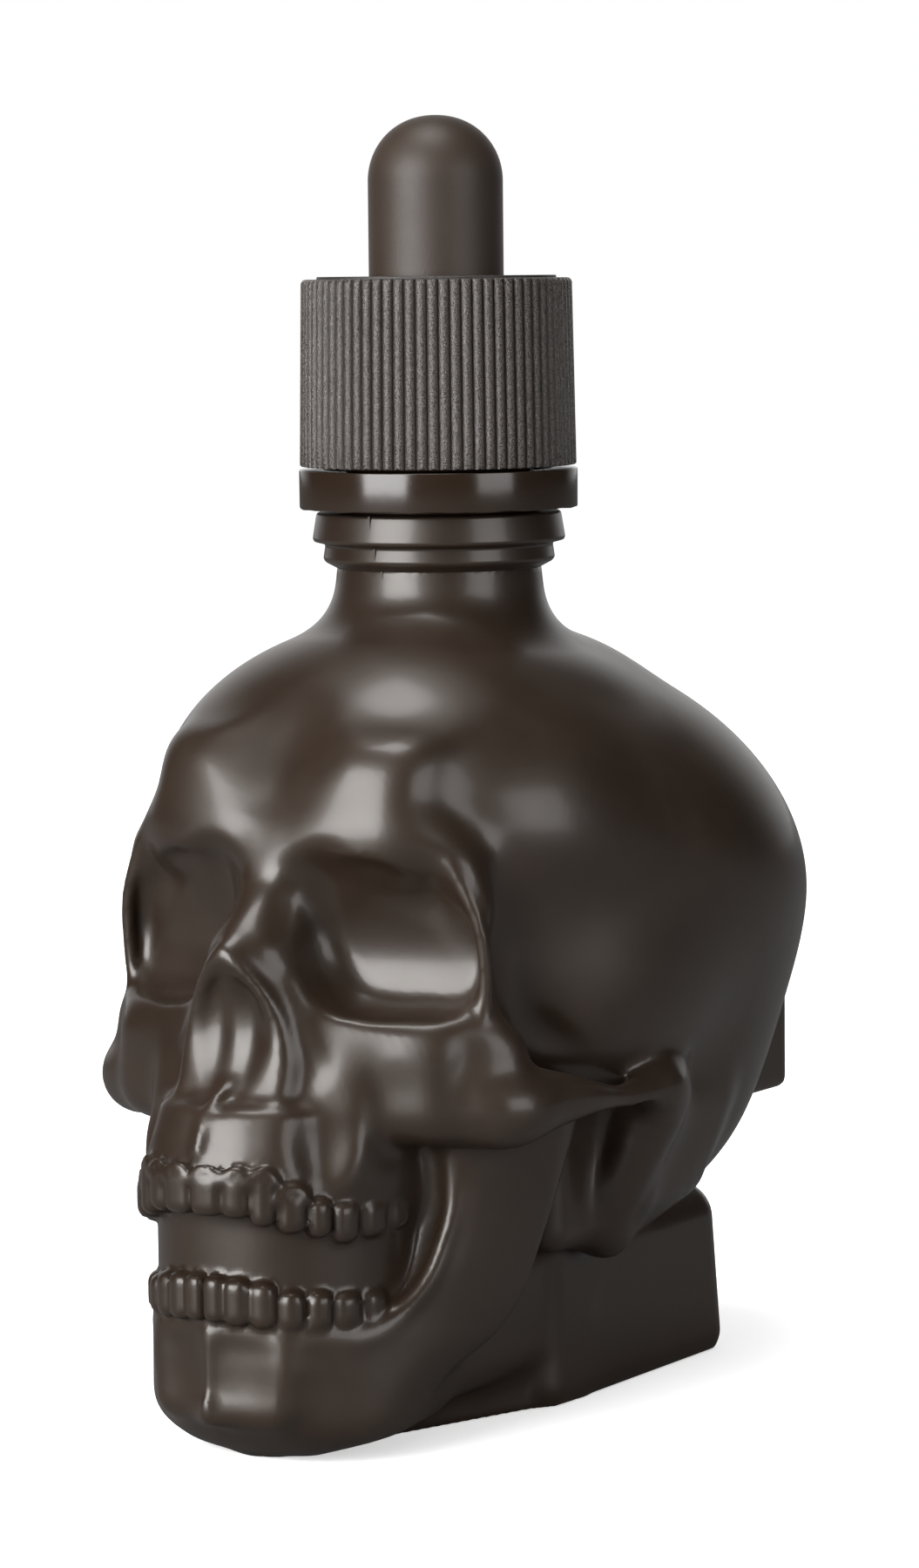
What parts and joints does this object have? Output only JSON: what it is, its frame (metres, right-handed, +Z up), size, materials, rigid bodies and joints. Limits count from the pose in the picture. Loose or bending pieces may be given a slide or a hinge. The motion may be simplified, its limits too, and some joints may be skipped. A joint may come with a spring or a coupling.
{
  "type": "dropper bottle",
  "caption": "Black lacquered glass skull-shaped bottle with a screw neck, ribbed two-piece dropper cap, tamper band, rubber bulb and glass pipette.",
  "frame": {"origin": "where the neck's axis meets the plane of the flat base", "axes": "+Z up along the neck's axis, -Y the way the skull looks, +X to the viewer's right when facing the skull"},
  "size_m": [0.0528, 0.0798, 0.1115],
  "materials": {
    "black_lacquered_glass": "satin black lacquer on glass",
    "gloss_black_plastic": "gloss",
    "gloss_black_plastic_inner": "gloss",
    "textured_black_plastic": "fine spark-eroded texture",
    "black_rubber": "matt",
    "clear_glass": "clear"
  },
  "bodies": {
    "bottle": {"skull_bottle": "black_lacquered_glass"},
    "band": {"tamper_band": "gloss_black_plastic"},
    "dropper": {"bulb": "black_rubber", "pipette": "clear_glass"},
    "inner": {"inner_cap": "gloss_black_plastic_inner"},
    "outer": {"outer_cap": "textured_black_plastic"}
  },
  "joints": [
    {"name": "band_spin", "type": "hinge", "parent": "bottle", "child": "band", "pos_m": [0, 0, 0.0795], "axis": [0, 0, 1], "continuous": true},
    {"name": "dropper_lift", "type": "slide", "parent": "bottle", "child": "dropper", "axis": [0, 0, 1], "range_m": [0, 0.0045]},
    {"name": "cap_turn", "type": "hinge", "parent": "dropper", "child": "inner", "pos_m": [0, 0, 0.09], "axis": [0, 0, 1], "range_deg": [0, 540]},
    {"name": "shell_play", "type": "slide", "parent": "inner", "child": "outer", "axis": [0, 0, 1], "range_m": [0, 0.0012]}
  ],
  "couplings": [
    {"joint": "cap_turn", "follows": "dropper_lift", "rad_per_m": 2094.4}
  ]
}
